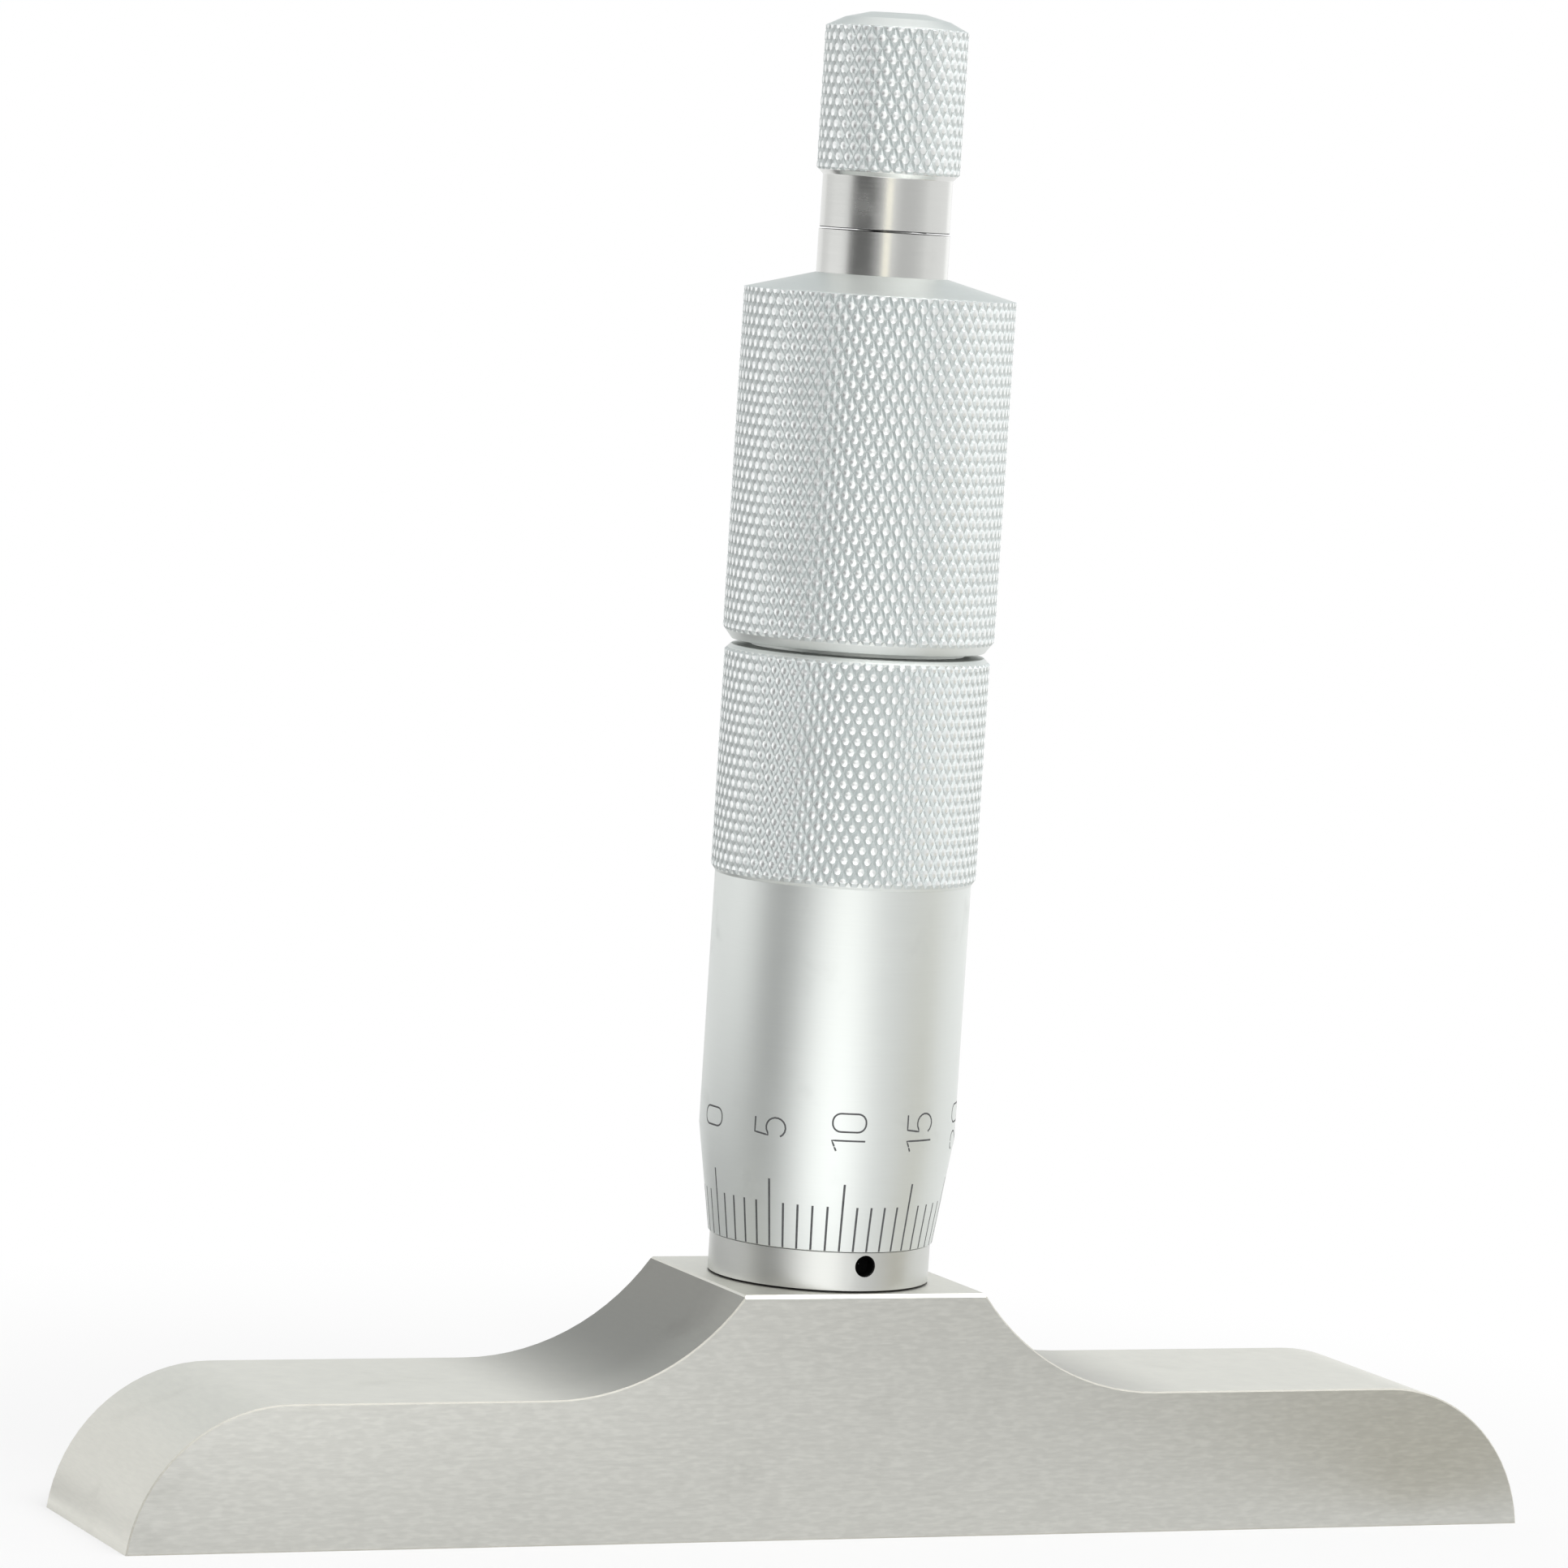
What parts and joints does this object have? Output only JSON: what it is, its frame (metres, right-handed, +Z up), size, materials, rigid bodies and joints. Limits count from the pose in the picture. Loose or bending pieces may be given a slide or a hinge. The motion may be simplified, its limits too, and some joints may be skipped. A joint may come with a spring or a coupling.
{
  "type": "depth micrometer",
  "caption": "Depth micrometer head for interchangeable rods: ground bridge base, zero-set sleeve, graduated thimble, knurled rod cap and ratchet stop on one vertical axis.",
  "frame": {"origin": "centre of the measuring face under the base, on the spindle axis", "axes": "+Z up the spindle axis away from the measuring face, +X along the base, the spanner hole in the sleeve's flange faces -Y"},
  "size_m": [0.1014, 0.0182, 0.1008],
  "materials": {
    "ground_steel": "satin ground, fine grain",
    "satin_chrome": "satin chrome plate",
    "polished_steel": "polished",
    "tool_steel": "fine turned",
    "spring_steel": "drawn wire"
  },
  "bodies": {
    "frame": {"base": "ground_steel", "barrel": "tool_steel", "adjusting_nut": "tool_steel"},
    "sleeve": {"sleeve": "satin_chrome"},
    "screw_feed": {"rod_seat_ring": "tool_steel"},
    "thimble": {"thimble": "satin_chrome", "spindle": "tool_steel", "thimble_nut": "tool_steel"},
    "cap_feed": {"knob_washer": "tool_steel"},
    "cap": {"thimble_cap": "satin_chrome", "ratchet_body": "polished_steel", "ratchet_nut": "tool_steel", "ratchet_pin": "tool_steel", "knob_screw": "polished_steel"},
    "click_ring": {"ratchet_ring": "tool_steel", "ratchet_spring": "spring_steel"},
    "knob": {"ratchet_knob": "satin_chrome", "knob_tooth_plate": "tool_steel"}
  },
  "joints": [
    {"name": "sleeve_zero", "type": "hinge", "parent": "frame", "child": "sleeve", "pos_m": [0, 0, 0.032], "axis": [0, 0, 1], "continuous": true},
    {"name": "screw_rise", "type": "slide", "parent": "frame", "child": "screw_feed", "axis": [0, 0, 1], "range_m": [0, 0.0255]},
    {"name": "thimble_turn", "type": "hinge", "parent": "screw_feed", "child": "thimble", "pos_m": [0, 0, 0.04], "axis": [0, 0, 1], "range_deg": [0, 18360]},
    {"name": "cap_rise", "type": "slide", "parent": "thimble", "child": "cap_feed", "axis": [0, 0, 1], "range_m": [0, 0.00675]},
    {"name": "cap_turn", "type": "hinge", "parent": "cap_feed", "child": "cap", "pos_m": [0, 0, 0.07], "axis": [0, 0, 1], "range_deg": [0, 3240]},
    {"name": "ring_click", "type": "slide", "parent": "cap", "child": "click_ring", "axis": [0, 0, -1], "range_m": [0, 0.0006], "stiffness_N_per_m": 600, "springref_m": -0.002, "deforming": ["ratchet_spring"]},
    {"name": "ratchet_turn", "type": "hinge", "parent": "cap", "child": "knob", "pos_m": [0, 0, 0.095], "axis": [0, 0, 1], "continuous": true}
  ],
  "couplings": [
    {"joint": "thimble_turn", "follows": "screw_rise", "rad_per_m": 12566},
    {"joint": "cap_turn", "follows": "cap_rise", "rad_per_m": 8377.6}
  ]
}
